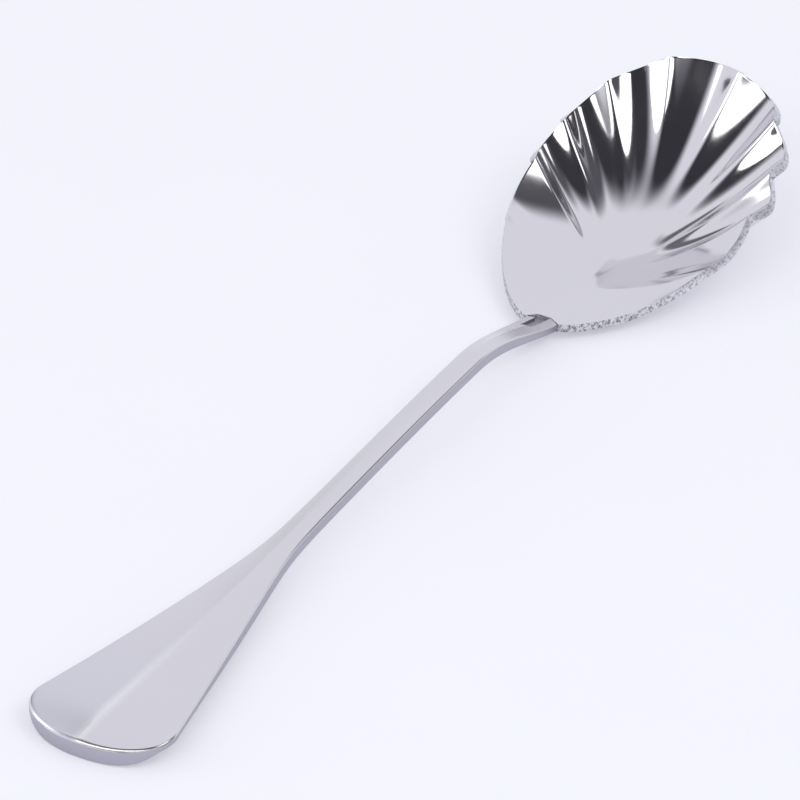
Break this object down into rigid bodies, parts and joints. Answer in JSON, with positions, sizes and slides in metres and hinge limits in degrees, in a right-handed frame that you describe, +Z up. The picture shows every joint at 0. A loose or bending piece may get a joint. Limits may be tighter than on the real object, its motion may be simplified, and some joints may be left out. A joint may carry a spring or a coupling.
{
  "type": "sugar spoon",
  "caption": "Polished steel sugar spoon with a deep fluted scoop bowl and a slim arched handle that widens into a rounded paddle.",
  "frame": {"origin": "on the table under the middle of the spoon's length", "axes": "+X from the handle's end to the bowl's tip, +Z up out of the bowl"},
  "size_m": [0.1568, 0.035, 0.0186],
  "materials": {
    "handle": "polished",
    "bowl": "mirror polished",
    "braze_seam": "dull"
  },
  "bodies": {
    "root": {"handle": "handle", "bowl": "bowl", "braze_seam": "braze_seam"}
  },
  "joints": []
}
